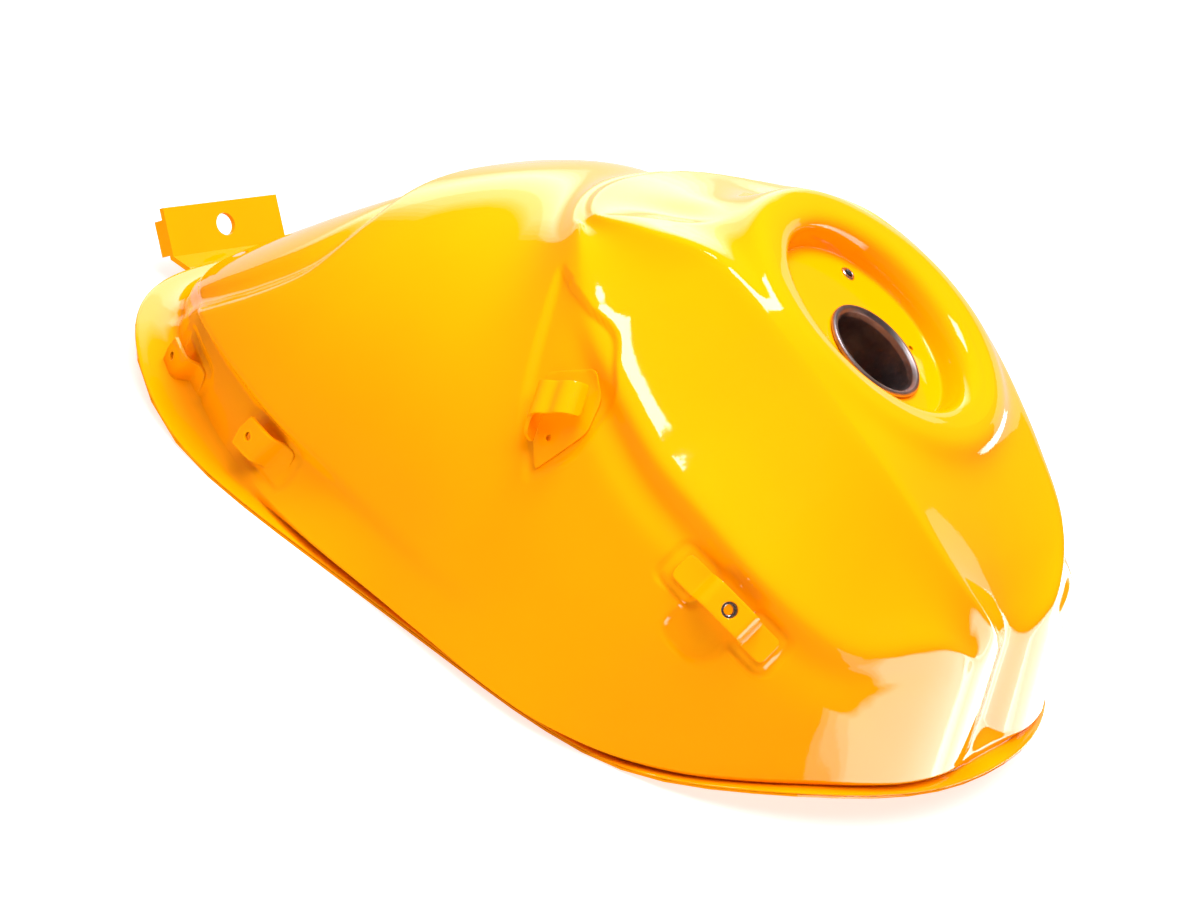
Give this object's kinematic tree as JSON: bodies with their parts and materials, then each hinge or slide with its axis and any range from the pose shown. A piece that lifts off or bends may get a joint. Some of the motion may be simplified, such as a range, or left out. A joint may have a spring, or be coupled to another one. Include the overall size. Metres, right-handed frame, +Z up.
{
  "type": "motorcycle fuel tank",
  "caption": "Bare painted steel motorcycle fuel tank with recessed filler dish, open neck, raised hood, knee recesses, side brackets and a rear mounting tab.",
  "frame": {"origin": "centre of the bounding box on the plane the tank's seam rests on", "axes": "+Z up from the seam plane, -Y toward the front of the motorcycle, +X to the rider's left"},
  "size_m": [0.4104, 0.6044, 0.2383],
  "materials": {
    "paint": "gloss",
    "bare_steel": "bare",
    "zinc": "zinc plated",
    "inner_steel": "bare"
  },
  "bodies": {
    "root": {"outer_shell": "paint", "base_pan": "paint", "filler_dish_floor": "paint", "rear_mount_bracket": "paint", "rear_cover_bracket_right": "paint", "rear_cover_bracket_left": "paint", "middle_cover_bracket_right": "paint", "middle_cover_bracket_left": "paint", "side_hook_bracket_right": "paint", "side_hook_bracket_left": "paint", "front_cover_bracket_right": "paint", "front_cover_bracket_left": "paint", "filler_neck": "bare_steel", "cap_thread_insert_rear": "zinc", "cap_thread_insert_front": "zinc", "front_weld_nut_right": "zinc", "front_weld_nut_left": "zinc", "pump_stud_1": "zinc", "pump_stud_2": "zinc", "pump_stud_3": "zinc", "pump_stud_4": "zinc", "pump_stud_5": "zinc", "pump_stud_6": "zinc", "pump_mount_ring": "inner_steel", "dish_drain_tube": "inner_steel", "vent_tube": "inner_steel", "baffle_front": "inner_steel", "baffle_rear": "inner_steel", "front_mount_cup_right": "inner_steel", "front_mount_cup_left": "inner_steel"}
  },
  "joints": []
}
